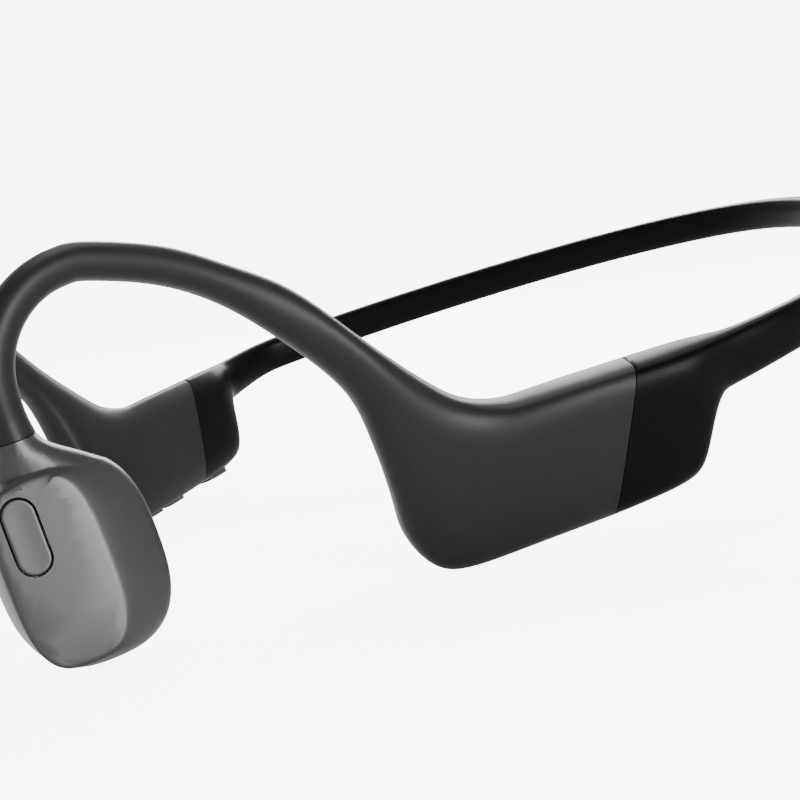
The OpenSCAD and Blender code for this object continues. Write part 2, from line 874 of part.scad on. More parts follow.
// The frame stands on the contact cover and carries the spring on its rim
module driver_frame() {
    on_axis(0) difference() {
        union() {
            translate([0, 0, floor_in]) cylinder(h = foot_h + 0.1, r = foot_r);
            translate([0, 0, floor_in + foot_h]) cylinder(h = rim_n - floor_in - foot_h, r = frame_r);
        }
        translate([0, 0, frame_floor]) cylinder(h = 2 * driver_in, r = cup_r + cup_room);
    }
}

module left_driver_frame() {
    color("ivory") driver_frame();
}

module right_driver_frame() {
    color("ivory") right_side() driver_frame();
}

// A flat spring: an outer ring, three curved arms and a hub
module leaf_spring() {
    on_axis(rim_n) linear_extrude(spring_t) difference() {
        circle(frame_r);
        circle(post_r + hub_gap);
        for (a = [0, 120, 240]) rotate(a) difference() {
            intersection() {
                circle(frame_r - 1.3);
                polygon([[0, 0], [12, 0], [12, 12], [-2.2, 12]]);
            }
            circle(3);
            rotate(35) translate([0, -0.7]) square([8, 1.4]);
        }
    }
}

module left_leaf_spring() {
    color("silver") leaf_spring();
}

module right_leaf_spring() {
    color("silver") right_side() leaf_spring();
}

module voice_coil() {
    on_axis(frame_floor) difference() {
        cylinder(h = magnet_bottom - frame_floor + 0.6, r = magnet_d / 2 + coil_gap + coil_t);
        translate([0, 0, -1]) cylinder(h = 2 * driver_in, r = magnet_d / 2 + coil_gap);
    }
}

module left_voice_coil() {
    color("peru") voice_coil();
}

module right_voice_coil() {
    color("peru") right_side() voice_coil();
}

// The cup's post passes through the spring's hub, and the nut closes it above
module yoke_cup() {
    on_axis(0) union() {
        translate([0, 0, magnet_bottom - plate_t]) difference() {
            cylinder(h = cup_top - magnet_bottom + plate_t, r = cup_r);
            translate([0, 0, -1]) cylinder(h = magnet_top - magnet_bottom + plate_t + 1, r = cup_r - cup_wall);
        }
        translate([0, 0, cup_top - 0.1]) cylinder(h = nut_n - cup_top + 0.1, r = post_r);
    }
}

module left_yoke_cup() {
    color("lightgray") yoke_cup();
}

module right_yoke_cup() {
    color("lightgray") right_side() yoke_cup();
}

module magnet() {
    on_axis(magnet_bottom) cylinder(h = magnet_t, r = magnet_d / 2);
}

module left_magnet() {
    color("gray") magnet();
}

module right_magnet() {
    color("gray") right_side() magnet();
}

module pole_plate() {
    on_axis(magnet_bottom - plate_t) cylinder(h = plate_t, r = magnet_d / 2);
}

module left_pole_plate() {
    color("lightgray") pole_plate();
}

module right_pole_plate() {
    color("lightgray") right_side() pole_plate();
}

module spring_nut() {
    on_axis(nut_n) cylinder(h = 0.5, r = 1.7);
}

module left_spring_nut() {
    color("silver") spring_nut();
}

module right_spring_nut() {
    color("silver") right_side() spring_nut();
}

// ---------- multifunction button and its switch ----------

module multifunction_button() {
    color([0.16, 0.16, 0.17]) in_driver() union() {
        button_pill(0, facet_wall - 0.1 - button_flange_t, driver_out - 0.05);
        button_pill(button_rim, facet_wall - 0.1 - button_flange_t, facet_wall - 0.1);
    }
}

module button_switch() {
    color("orange") in_driver() union() {
        translate([switch_n - 0.8, button_u - 1.1, button_v - 4.2]) cube([0.3, 2.2, 7.4]);
        translate([switch_n - 0.5, button_u, button_v]) rotate([0, 90, 0]) cylinder(h = 0.5, r = 1);
    }
}

// ---------- microphone in the bottom of the right driver ----------

mic_floor = -half_h + seam_low + driver_wall + 0.2;

module microphone() {
    color("gold") right_side() in_driver() translate([mic_at[0], mic_at[1], mic_floor + 0.2])
        cylinder(h = 1.1, r = 1.3);
}

module microphone_mesh() {
    color("dimgray") right_side() in_driver() translate([mic_at[0], mic_at[1], mic_floor])
        cylinder(h = 0.2, r = 0.9);
}

// ---------- the whole, tilted to stand on the floor ----------

module standing() {
    translate([0, stand_y, stand_z]) rotate([rest_tilt, 0, 0]) children();
}

// Depth and height of a point after the tilt
function tilted_y(p, a) = p[1] * cos(a) - p[2] * sin(a);
function tilted_z(p, a) = p[1] * sin(a) + p[2] * cos(a);
function lowest(points, a) =
    let (heights = [for (p = points) tilted_z(p, a)])
    points[search(min(heights), heights)[0]];

pod_points = [for (s = sheath_stations) each ring(s, SIDES)];
band_points = [for (s = band_stations) each ring(s, SIDES)];
driver_points = [
    for (r = concat(shell_skin(0, 0), cover_skin(0, 0)), p = r) driver(p[1], p[2], p[0])
];

// The tilt that brings the lowest points of the drivers and of the pods to one level
function level_tilt(a) =
    let (d = lowest(driver_points, a), b = lowest(pod_points, a)) atan2(d[2] - b[2], b[1] - d[1]);
rest_tilt = level_tilt(level_tilt(11));

stand_z = -tilted_z(lowest(driver_points, rest_tilt), rest_tilt);
front_y = min([for (p = concat(driver_points, pod_points)) tilted_y(p, rest_tilt)]);
back_y = max([for (p = band_points) tilted_y(p, rest_tilt)]);
stand_y = -(front_y + back_y) / 2;

standing() left_hook_sheath();
standing() right_hook_sheath();
standing() neckband_cover();
standing() left_hook_wire();
standing() right_hook_wire();
standing() band_wire();
standing() left_hook_cable();
standing() right_hook_cable();
standing() band_cable();
standing() left_hook_clamp();
standing() right_hook_clamp();
standing() left_band_clamp();
standing() right_band_clamp();
standing() battery_case();
standing() battery_lid();
standing() battery_cell();
standing() battery_board();
standing() circuit_case();
standing() circuit_lid();
standing() main_board();
standing() board_chips();
standing() shield_can();
standing() antenna();
standing() volume_up_key();
standing() volume_down_key();
standing() volume_switches();
standing() charging_port();
standing() charging_contacts();
standing() charging_magnets();
standing() status_light();
standing() left_driver_shell();
standing() right_driver_shell();
standing() left_driver_cover();
standing() right_driver_cover();
standing() left_driver_gasket();
standing() right_driver_gasket();
standing() left_driver_plug();
standing() right_driver_plug();
standing() left_driver_frame();
standing() right_driver_frame();
standing() left_leaf_spring();
standing() right_leaf_spring();
standing() left_voice_coil();
standing() right_voice_coil();
standing() left_yoke_cup();
standing() right_yoke_cup();
standing() left_magnet();
standing() right_magnet();
standing() left_pole_plate();
standing() right_pole_plate();
standing() left_spring_nut();
standing() right_spring_nut();
standing() multifunction_button();
standing() button_switch();
standing() microphone();
standing() microphone_mesh();
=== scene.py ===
# %% [markdown]
# # Bone conduction headphones
# This lesson dresses an engineering model of wraparound headphones for a studio picture.
# The engineering model is loaded first and never changed. What shows of it is either given a
# better material, or is replaced by a softer or finer piece that rides on the same body.

# %% Load the engineering model
import math
import bpy
import bmesh
import json
from mathutils import Matrix, Vector


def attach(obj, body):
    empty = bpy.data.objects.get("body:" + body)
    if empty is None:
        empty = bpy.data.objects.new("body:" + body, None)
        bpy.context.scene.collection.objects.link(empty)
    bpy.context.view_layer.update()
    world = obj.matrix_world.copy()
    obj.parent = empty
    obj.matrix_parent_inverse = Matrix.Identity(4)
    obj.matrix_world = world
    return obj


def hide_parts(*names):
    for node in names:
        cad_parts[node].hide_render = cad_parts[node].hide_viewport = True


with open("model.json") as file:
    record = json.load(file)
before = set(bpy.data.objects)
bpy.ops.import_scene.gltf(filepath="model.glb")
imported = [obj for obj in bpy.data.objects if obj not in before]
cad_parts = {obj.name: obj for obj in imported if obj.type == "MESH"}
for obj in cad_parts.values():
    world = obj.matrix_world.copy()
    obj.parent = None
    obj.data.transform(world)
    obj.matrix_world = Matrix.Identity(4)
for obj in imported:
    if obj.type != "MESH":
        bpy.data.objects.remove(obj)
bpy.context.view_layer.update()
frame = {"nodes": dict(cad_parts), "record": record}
nodes = frame["nodes"]
MM = 0.001

# %% [markdown]
# The headphones are designed as worn and then lean back a little to stand on a floor. Two facts in
# the record tell how far: the way the left driver's magnet slides, and where its pad is. Every
# piece that is modelled later takes its place from these, and so does the camera. The values in
# capitals are in millimetres and degrees, as the model has them when it is worn.

# %% Places of the drivers and pods
DRIVER_AT = Vector((47, -70.1, 1.5))
DRIVER_TURN, DRIVER_LEAN = 14, -9
POD_TURN, POD_LEAN = 24, 8.5
PAD_IN_DRIVER = Vector((-6, 0.3, 0))
PORT_IN_POD = Vector((0, -1.5, -18.5))

record = frame["record"]
mounts = {m["name"]: Vector(m["pos_m"]) for m in record["mounts"]}
joints = {j["name"]: j for j in record["behaviour"]["joints"]}
slide = Vector(joints["left_magnet_slide"]["axis"])


def worn_axes(turn, lean):
    """Columns outwards, backwards, upwards of a piece that is turned and leaned on the head."""
    return Matrix.Rotation(-math.radians(turn), 3, "Z") @ Matrix.Rotation(math.radians(lean), 3, "Y")


driver_worn = worn_axes(DRIVER_TURN, DRIVER_LEAN)
worn_out = driver_worn.col[0]
lean_back = Matrix.Rotation(
    math.atan2(slide.z, slide.y) - math.atan2(worn_out.z, worn_out.y), 3, "X"
)
driver_axes = lean_back @ driver_worn
pad_worn = DRIVER_AT * MM + driver_worn @ (PAD_IN_DRIVER * MM)
stand = mounts["left_contact_pad"] - lean_back @ pad_worn
driver_middle = mounts["left_contact_pad"] - driver_axes @ (PAD_IN_DRIVER * MM)
mirrored = Matrix.Diagonal((-1, 1, 1))
pod_axes = mirrored @ lean_back @ worn_axes(POD_TURN, POD_LEAN)
pod_middle = mounts["charging_port"] - pod_axes @ (PORT_IN_POD * MM)


def in_driver(out_mm, back_mm, up_mm):
    """A place in the left driver, from millimetres outwards, backwards and upwards."""
    return driver_middle + driver_axes @ (Vector((out_mm, back_mm, up_mm)) * MM)


def in_pod(out_mm, back_mm, up_mm):
    """A place in the right pod, from millimetres outwards, backwards and upwards."""
    return pod_middle + pod_axes @ (Vector((out_mm, back_mm, up_mm)) * MM)


def seat(centre, across, along, out):
    """Places a piece that was modelled flat: X across, Y along, Z outwards."""
    return Matrix.Translation(centre) @ Matrix((across, along, out)).transposed().to_4x4()


print("stands at", tuple(stand))
print("driver at", tuple(driver_middle), "right pod at", tuple(pod_middle))

# %% [markdown]
# The camera comes before anything is made, so that each piece can be judged from where it is seen.
# It stands low beside the left pod with a long lens, and it is rolled a little, which makes the
# band climb across the picture.

# %% Camera
CAMERA_WORN = Vector((0.23365, -0.13925, 0.04395))
PICTURE_RIGHT = Vector((0.5494, 0.7788, -0.3027))
PICTURE_UP = Vector((0.0148, 0.3532, 0.9354))

eye = bpy.data.cameras.new("studio_camera")
eye.lens = 81
eye.sensor_width = 36
camera = bpy.data.objects.new("studio_camera", eye)
bpy.context.scene.collection.objects.link(camera)
camera.location = stand + lean_back @ CAMERA_WORN
view_axes = Matrix((PICTURE_RIGHT, PICTURE_UP, PICTURE_RIGHT.cross(PICTURE_UP))).transposed()
camera.rotation_euler = (lean_back @ view_axes).to_euler()
bpy.context.scene.camera = camera
print("camera at", tuple(camera.location), "lens", eye.lens)

# %% [markdown]
# Modelling by hand is a round of the same few moves: select one thing, pick some of its faces, add
# a modifier, put the finished piece in its place. Each move is a helper here, because an operator
# acts on all that is selected, and one stray selection would spoil a piece.

# %% Helpers for selecting and finishing
def alone(obj):
    """Only obj is selected, and it is active."""
    for other in bpy.context.selected_objects:
        other.select_set(False)
    obj.select_set(True)
    bpy.context.view_layer.objects.active = obj


def nothing_selected():
    """Clears the selection, so that only what is added next is acted on."""
    for other in bpy.context.selected_objects:
        other.select_set(False)


def pick(obj, kind, test):
    """In edit mode, selects the vertices, edges or faces whose middle passes the test."""
    bpy.ops.mesh.select_mode(type={"verts": "VERT", "edges": "EDGE", "faces": "FACE"}[kind])
    bpy.ops.mesh.select_all(action="DESELECT")
    mesh = bmesh.from_edit_mesh(obj.data)
    count = 0
    for item in getattr(mesh, kind):
        if kind == "verts":
            middle, normal = item.co, item.normal
        elif kind == "edges":
            middle, normal = (item.verts[0].co + item.verts[1].co) / 2, None
        else:
            middle, normal = item.calc_center_median(), item.normal
        if test(middle, normal):
            item.select_set(True)
            count += 1
    mesh.select_flush_mode()
    bmesh.update_edit_mesh(obj.data)
    return count


def modify(obj, kind, **settings):
    """Adds a modifier and applies it."""
    alone(obj)
    modifier = obj.modifiers.new(kind.lower(), kind)
    for key, value in settings.items():
        setattr(modifier, key, value)
    bpy.ops.object.modifier_apply(modifier=modifier.name)


def settle(obj, place):
    """Moves a finished piece to its place, and leaves its object at the origin."""
    obj.data.transform(place)
    if place.to_3x3().determinant() < 0:
        obj.data.flip_normals()
    obj.data.update()


def smooth(obj, angle):
    """Shades smooth, apart from edges that turn by more than the angle."""
    alone(obj)
    bpy.ops.object.shade_smooth_by_angle(angle=math.radians(angle))


print("helpers ready")

# %% [markdown]
# The floor is a wide dish: flat in the middle and rising smoothly all round, like the paper sweep
# of a studio. There is no horizon line behind the object from any side. A disc could be revolved
# from a profile, but its rim is extruded and widened ring by ring, which needs no profile.

# %% Floor
FLAT_RADIUS = 1.0
CURVE_RADIUS = 1.6
CURVE_STEPS = 12
WALL_HEIGHT = 1.2
BELOW_THE_OBJECT = 0.00002
nothing_selected()
bpy.ops.mesh.primitive_circle_add(vertices=96, radius=FLAT_RADIUS, fill_type="NGON")
floor = bpy.context.object
floor.name = "studio_floor"
bpy.ops.object.mode_set(mode="EDIT")
bpy.ops.mesh.select_mode(type="EDGE")
bpy.ops.mesh.select_all(action="SELECT")
bpy.ops.mesh.region_to_loop()
rise = math.radians(90 / CURVE_STEPS)


def ring_radius(step):
    return FLAT_RADIUS + CURVE_RADIUS * math.sin(step * rise)


for step in range(1, CURVE_STEPS + 1):
    grow = ring_radius(step) / ring_radius(step - 1)
    lift = CURVE_RADIUS * (math.cos((step - 1) * rise) - math.cos(step * rise))
    bpy.ops.mesh.extrude_region_move(TRANSFORM_OT_translate={"value": (0, 0, lift)})
    bpy.ops.transform.resize(value=(grow, grow, 1), center_override=(0, 0, 0))
bpy.ops.mesh.extrude_region_move(TRANSFORM_OT_translate={"value": (0, 0, WALL_HEIGHT)})
bpy.ops.object.mode_set(mode="OBJECT")
smooth(floor, 60)
settle(floor, Matrix.Translation((0, 0, -BELOW_THE_OBJECT)))
print("floor of", len(floor.data.polygons), "faces")

# %% [markdown]
# Soft studio light: a large panel overhead, one beside the left pod that brightens the flat facet
# of the driver, and a long one behind, which draws the thin bright edge along the tops.

# %% Lights
SKY_STRENGTH = 0.36


def panel(name, where, target, size, watts):
    """A rectangular lamp that faces the target."""
    data = bpy.data.lights.new(name, "AREA")
    data.shape = "RECTANGLE"
    data.size, data.size_y = size
    data.energy = watts
    lamp = bpy.data.objects.new(name, data)
    bpy.context.scene.collection.objects.link(lamp)
    lamp.location = where
    lamp.rotation_euler = (Vector(target) - Vector(where)).to_track_quat("-Z", "Y").to_euler()
    return lamp


world = bpy.data.worlds.new("studio_world")
bpy.context.scene.world = world
world.use_nodes = True
sky = world.node_tree.nodes["Background"]
sky.inputs["Color"].default_value = (1, 1, 1, 1)
sky.inputs["Strength"].default_value = SKY_STRENGTH
panel("overhead_panel", (-0.1, 0.15, 1.1), (0, 0, 0), (0.8, 0.8), 8)
panel("facet_panel", (0.62, -0.03, 0.12), (0.05, -0.07, 0.01), (0.16, 0.3), 4.4)
panel("rim_panel", (-0.55, 0.65, 0.5), (0.05, 0, 0.02), (0.9, 0.2), 10)
print("three panels and a pale world")

# %% [markdown]
# A material is a small tree of nodes. Two short classes let it be written as sums: a Value is one
# socket, and + and * between Values add Math nodes. A Finish is one material.

# %% Materials as expressions
class Value:
    """A number, colour or vector that a node gives."""

    def __init__(self, finish, socket):
        self.finish = finish
        self.socket = socket

    def _math(self, operation, first, second):
        return self.finish.node("ShaderNodeMath", {"operation": operation}, {0: first, 1: second})

    def __add__(self, other):
        return self._math("ADD", self, other)

    def __mul__(self, other):
        return self._math("MULTIPLY", self, other)

    __radd__ = __add__
    __rmul__ = __mul__


class Finish:
    """One material. Its constants go straight on the shader's sockets."""

    def __init__(self, name, colour, **sockets):
        self.material = bpy.data.materials.new(name)
        self.material.use_nodes = True
        self.tree = self.material.node_tree
        self.shader = self.tree.nodes["Principled BSDF"]
        self.material.diffuse_color = (*colour, 1)
        self.set("Base Color", (*colour, 1))
        for key, value in sockets.items():
            self.set(key.replace("_", " "), value)

    def node(self, kind, settings=None, sockets=None, out=0):
        made = self.tree.nodes.new(kind)
        for key, value in (settings or {}).items():
            if key == "stops":
                ramp = made.color_ramp.elements
                while len(ramp) < len(value):
                    ramp.new(0.5)
                for stop, (place, grey) in zip(ramp, value):
                    stop.position = place
                    stop.color = (grey, grey, grey, 1)
            else:
                setattr(made, key, value)
        for key, value in (sockets or {}).items():
            self.feed(made.inputs[key], value)
        return Value(self, made.outputs[out])

    def feed(self, socket, value):
        if isinstance(value, Value):
            self.tree.links.new(value.socket, socket)
        else:
            socket.default_value = value

    def set(self, name, value):
        self.feed(self.shader.inputs[name], value)

    def place(self, turn=(0, 0, 0), scale=(1, 1, 1)):
        """Where on the object a point is, turned and stretched for a pattern."""
        here = self.node("ShaderNodeTexCoord", out="Object")
        return self.node("ShaderNodeMapping", {}, {"Vector": here, "Rotation": turn, "Scale": scale})

    def noise(self, size_mm, detail=2.0, where=None):
        """Soft noise whose blotches are about that many millimetres across, from 0 to 1."""
        return self.node(
            "ShaderNodeTexNoise", {},
            {"Vector": where or self.place(), "Scale": 1 / (size_mm * MM), "Detail": detail},
        )

    def mix(self, amount, low, high):
        return self.node(
            "ShaderNodeMix", {"data_type": "RGBA"}, {"Factor": amount, 6: (*low, 1), 7: (*high, 1)}, out=2
        )

    def bump(self, height, depth_mm, strength=1.0):
        self.set("Normal", self.node(
            "ShaderNodeBump", {}, {"Height": height, "Distance": depth_mm * MM, "Strength": strength}
        ))


def tinted(colour, amount):
    """A little darker and a little lighter than a colour."""
    return [c * (1 - amount) for c in colour], [min(1, c * (1 + amount)) for c in colour]


print("Value and Finish ready")

# %% [markdown]
# Silicone and soft-touch plastic. Both are matt with a wide soft gleam. A very fine grain keeps the
# highlights from looking like glass, and slow changes of roughness look like handling.

# %% Soft finishes
HANDLING_MM = 14
CLOUD_ROUGHNESS = 0.08
GRAIN_ROUGHNESS = 0.05


def soft_touch(name, colour, rough, grain_mm, depth_mm, **sockets):
    """A matt finish with a fine grain and slow changes of gloss."""
    finish = Finish(name, colour, **sockets)
    cloud = finish.noise(HANDLING_MM, 3)
    fine = finish.noise(grain_mm, 1)
    finish.set("Base Color", finish.mix(cloud, *tinted(colour, 0.12)))
    middle = (CLOUD_ROUGHNESS + GRAIN_ROUGHNESS) / 2
    finish.set("Roughness", cloud * CLOUD_ROUGHNESS + fine * GRAIN_ROUGHNESS + (rough - middle))
    finish.bump(fine, depth_mm)
    return finish.material


hook_silicone = soft_touch(
    "hook_silicone", (0.0062, 0.0062, 0.0065), 0.40, 0.16, 0.004, Specular_IOR_Level=0.17
)
band_silicone = soft_touch(
    "band_silicone", (0.0006, 0.0006, 0.0007), 0.34, 0.16, 0.003, Specular_IOR_Level=0.06
)
shell_plastic = soft_touch(
    "driver_shell_plastic", (0.007, 0.007, 0.0072), 0.36, 0.12, 0.002, Specular_IOR_Level=0.5
)
pad_silicone = soft_touch(
    "contact_pad_silicone", (0.42, 0.42, 0.43), 0.5, 0.16, 0.004, Specular_IOR_Level=0.4
)
cap_plastic = soft_touch(
    "button_plastic", (0.008, 0.008, 0.0082), 0.34, 0.1, 0.002, Specular_IOR_Level=0.5
)
key_plastic = soft_touch("key_plastic", (0.012, 0.012, 0.013), 0.42, 0.1, 0.002)
case_plastic = soft_touch("case_plastic", (0.05, 0.05, 0.055), 0.5, 0.3, 0.01)
frame_plastic = soft_touch("frame_plastic", (0.62, 0.60, 0.52), 0.45, 0.2, 0.005)
gasket_rubber = soft_touch("gasket_rubber", (0.03, 0.03, 0.03), 0.7, 0.2, 0.008)
cable_jacket = soft_touch("cable_jacket", (0.3, 0.02, 0.015), 0.5, 0.15, 0.004)
chip_resin = soft_touch("chip_resin", (0.02, 0.02, 0.022), 0.6, 0.08, 0.004)
port_plastic = soft_touch("port_plastic", (0.01, 0.01, 0.011), 0.4, 0.1, 0.002)
ceramic = soft_touch("ceramic", (0.72, 0.72, 0.68), 0.25, 0.4, 0.002)
print("thirteen soft finishes")

# %% [markdown]
# Metals. Drawn wire and rolled strip have fine lines along one direction, which are noise that is
# stretched. A coil is wound from wire, so its bump is a row of rounded bands. The same bands darken
# its colour in the grooves between turns, which is painted shade.

# %% Metal finishes
def metal(name, colour, rough, lines_mm=0.0, turn=(0, 0, 0), depth_mm=0.004):
    """Bare metal, with drawn lines of that width where lines_mm is given."""
    finish = Finish(name, colour, Metallic=1.0)
    cloud = finish.noise(4, 3)
    finish.set("Base Color", finish.mix(cloud, *tinted(colour, 0.08)))
    if lines_mm:
        lines = finish.noise(lines_mm, 2, finish.place(turn, (1, 1, 0.04)))
        finish.set("Roughness", lines * 0.15 + (rough - 0.07))
        finish.bump(lines, depth_mm)
    else:
        finish.set("Roughness", cloud * 0.12 + (rough - 0.06))
    return finish.material


titanium = metal("titanium_wire", (0.52, 0.50, 0.48), 0.36, 0.08, (0, 1.2, 0))
brass = metal("brass_clamp", (0.66, 0.47, 0.17), 0.3, 0.1)
spring_steel = metal("spring_steel", (0.66, 0.66, 0.64), 0.22, 0.06, (1.5, 0, 0))
zinc_steel = metal("yoke_steel", (0.58, 0.59, 0.6), 0.3, 0.12)
nickel = metal("magnet_nickel", (0.62, 0.61, 0.58), 0.14)
tin_plate = metal("shield_steel", (0.7, 0.7, 0.7), 0.3, 0.1)
gold = metal("gold_contact", (0.9, 0.62, 0.2), 0.16)
mic_can = metal("mic_can", (0.7, 0.55, 0.25), 0.25, 0.08)

COIL_BAND_MM = 0.9
MESH_MM = 0.5

finish = Finish("copper_coil", (0.62, 0.25, 0.10), Metallic=0.9, Roughness=0.28, Coat_Weight=0.5)
turns_and_groove_shade = finish.node(
    "ShaderNodeTexWave", {"wave_type": "BANDS", "bands_direction": "X"},
    {"Vector": finish.place((0, math.radians(DRIVER_LEAN), math.radians(DRIVER_TURN))),
     "Scale": 1 / (COIL_BAND_MM * MM), "Distortion": 0.2},
)
finish.bump(turns_and_groove_shade, 0.05)
# The copper colour is darkened where the bands are low, in the grooves between turns: painted shade.
finish.set("Base Color", finish.mix(turns_and_groove_shade, (0.28, 0.09, 0.03), (0.66, 0.28, 0.11)))
copper = finish.material

finish = Finish("mic_mesh", (0.1, 0.1, 0.1), Metallic=0.8, Roughness=0.4)
along, across = [
    finish.node(
        "ShaderNodeTexWave", {"bands_direction": way},
        {"Vector": finish.place(), "Scale": 1 / (MESH_MM * MM)},
    )
    for way in "XY"
]
weave = along * across
finish.set("Base Color", finish.mix(weave, (0.01, 0.01, 0.01), (0.35, 0.35, 0.35)))
finish.bump(weave, 0.04)
mic_mesh = finish.material
print("ten metals")

# %% [markdown]
# Electronics: solder mask with paler copper tracks below it, a foil-wrapped cell with soft creases,
# orange film circuits, and a frosted light pipe.

# %% Electronic finishes
finish = Finish("circuit_board", (0.01, 0.12, 0.05), Roughness=0.3, Coat_Weight=0.6)
tracks = finish.node(
    "ShaderNodeTexBrick", {"offset": 0.37, "squash": 1.4},
    {"Vector": finish.place((0, 1.4, 0)), "Scale": 1 / (1.6 * MM), "Mortar Size": 0.03,
     "Color1": (0, 0, 0, 1), "Color2": (0, 0, 0, 1), "Mortar": (1, 1, 1, 1)},
)
finish.set("Base Color", finish.mix(tracks, (0.006, 0.075, 0.03), (0.05, 0.28, 0.12)))
finish.bump(tracks, 0.02)
board_mask = finish.material

finish = Finish("cell_wrap", (0.55, 0.58, 0.62), Metallic=0.7)
creases = finish.noise(2.2, 4)
finish.set("Roughness", creases * 0.2 + 0.2)
finish.bump(creases, 0.06)
finish.set("Base Color", finish.mix(creases, (0.42, 0.45, 0.5), (0.62, 0.65, 0.68)))
cell_wrap = finish.material

finish = Finish("switch_film", (0.62, 0.26, 0.05), Roughness=0.35, Coat_Weight=0.4)
film = finish.noise(0.6, 2)
finish.set("Base Color", finish.mix(film, (0.5, 0.18, 0.03), (0.7, 0.32, 0.07)))
finish.bump(film, 0.01)
switch_film = finish.material

finish = Finish("light_pipe", (0.8, 0.82, 0.85), IOR=1.49, Transmission_Weight=0.6)
frost = finish.noise(0.1, 1)
finish.set("Roughness", frost * 0.2 + 0.25)
finish.bump(frost, 0.01)
light_pipe = finish.material

BACKDROP_GLOW = 6.5
FLOOR_GLOW = 0.35

finish = Finish("studio_paper", (0.9, 0.9, 0.9), Roughness=0.9, Specular_IOR_Level=0.1)
fibre = finish.noise(3, 2)
finish.set("Base Color", finish.mix(fibre, (0.89, 0.89, 0.89), (0.91, 0.91, 0.91)))
seen = finish.node("ShaderNodeLightPath", out="Is Camera Ray")
glow = finish.node(
    "ShaderNodeEmission", {}, {"Color": (1, 1, 1, 1), "Strength": seen * BACKDROP_GLOW + FLOOR_GLOW}
)
both = finish.node("ShaderNodeAddShader", {}, {0: glow, 1: Value(finish, finish.shader.outputs[0])})
finish.feed(finish.tree.nodes["Material Output"].inputs["Surface"], both)
floor.data.materials.clear()
floor.data.materials.append(finish.material)
print("electronic finishes and the floor's paper")

# %% [markdown]
# Each node of the engineering model gets its finish. The inner pieces are out of sight in the
# picture, but the model is used in other scenes and cut open in lessons, so none is left plain.

# %% Finishes for the nodes
FINISHES = {
    "hook_sheath": hook_silicone, "neckband_cover": band_silicone, "wire": titanium,
    "cable": cable_jacket, "clamp": brass, "battery_case": case_plastic,
    "battery_lid": case_plastic, "circuit_case": case_plastic, "circuit_lid": case_plastic,
    "battery_cell": cell_wrap, "battery_board": board_mask, "main_board": board_mask,
    "board_chips": chip_resin, "shield_can": tin_plate, "antenna": ceramic,
    "volume_switches": switch_film, "button_switch": switch_film, "up_key": key_plastic,
    "down_key": key_plastic, "charging_port": port_plastic, "charging_contacts": gold,
    "charging_magnets": nickel, "status_light": light_pipe, "driver_shell": shell_plastic,
    "driver_cover": pad_silicone, "gasket": gasket_rubber, "driver_plug": gasket_rubber,
    "driver_frame": frame_plastic, "leaf_spring": spring_steel, "spring_nut": brass,
    "voice_coil": copper, "yoke_cup": zinc_steel, "pole_plate": zinc_steel,
    "_magnet": nickel, "multifunction_button": cap_plastic, "microphone_mesh": mic_mesh,
    "microphone": mic_can,
}


def finish_for(name):
    """The first finish whose key is part of the node's name."""
    return next(material for key, material in FINISHES.items() if key in name)


def paint(obj, material):
    obj.data.materials.clear()
    obj.data.materials.append(material)


for name, obj in nodes.items():
    paint(obj, finish_for(name))
print("finished", len(nodes), "nodes")

# %% [markdown]
# The silicone skins and the driver shells are flowing shapes that no primitive gives. Each is made
# from a copy of its engineering solid: the loose triangles are merged, joined into quads where they
# can be, and subdivided once. Edges that turn sharply are creased first so that they stay crisp.
# Where a driver's neck grows out of its shell, the surface is evened out afterwards, with the bore
# for the cable left as it is.

# %% Flowing skins
SHARP = 32
IN_FACET = 0.9995
FACET_CREASE = 0.95


def flowing(node, facet=None):
    """A merged and subdivided copy of a node, which stands for it.

    The border of a flat face that looks along facet is kept firm.
    """
    mesh = nodes[node].data.copy()
    obj = bpy.data.objects.new("soft_" + node, mesh)
    bpy.context.scene.collection.objects.link(obj)
    alone(obj)
    bpy.ops.object.mode_set(mode="EDIT")
    bpy.ops.mesh.select_all(action="SELECT")
    bpy.ops.mesh.remove_doubles(threshold=2e-6)
    bpy.ops.mesh.tris_convert_to_quads(
        face_threshold=math.radians(12), shape_threshold=math.radians(60)
    )
    bpy.ops.object.mode_set(mode="OBJECT")
    net = bmesh.new()
    net.from_mesh(mesh)
    layers = net.edges.layers.float
    crease = layers.get("crease_edge") or layers.new("crease_edge")
    for edge in net.edges:
        if len(edge.link_faces) != 2 or edge.calc_face_angle(0) > math.radians(SHARP):
            edge[crease] = 1.0
        elif facet and sum(face.normal.dot(facet) > IN_FACET for face in edge.link_faces) == 1:
            edge[crease] = FACET_CREASE
    net.to_mesh(mesh)
    net.free()
    modify(obj, "SUBSURF", levels=1, render_levels=1)
    smooth(obj, SHARP)
    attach(obj, "headset")
    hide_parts(node)
    paint(obj, finish_for(node))
    print(obj.name, len(obj.data.polygons), "faces")
    return obj


def soften(obj, test, cuts, rounds):
    """Evens out the part of a piece whose points pass the test."""
    alone(obj)
    bpy.ops.object.mode_set(mode="EDIT")
    pick(obj, "faces", test)
    bpy.ops.mesh.subdivide(number_cuts=cuts)
    count = pick(obj, "verts", test)
    bpy.ops.mesh.vertices_smooth(factor=0.5, repeat=rounds)
    bpy.ops.object.mode_set(mode="OBJECT")
    print(obj.name, "softened at", count, "points")


NECK_BOTTOM, NECK_TOP = 9.9, 14.6
NECK_INNER = -1.1
BORE_Y, BORE_RADIUS, BORE_BOTTOM = -72.05, 1.9, 11.9


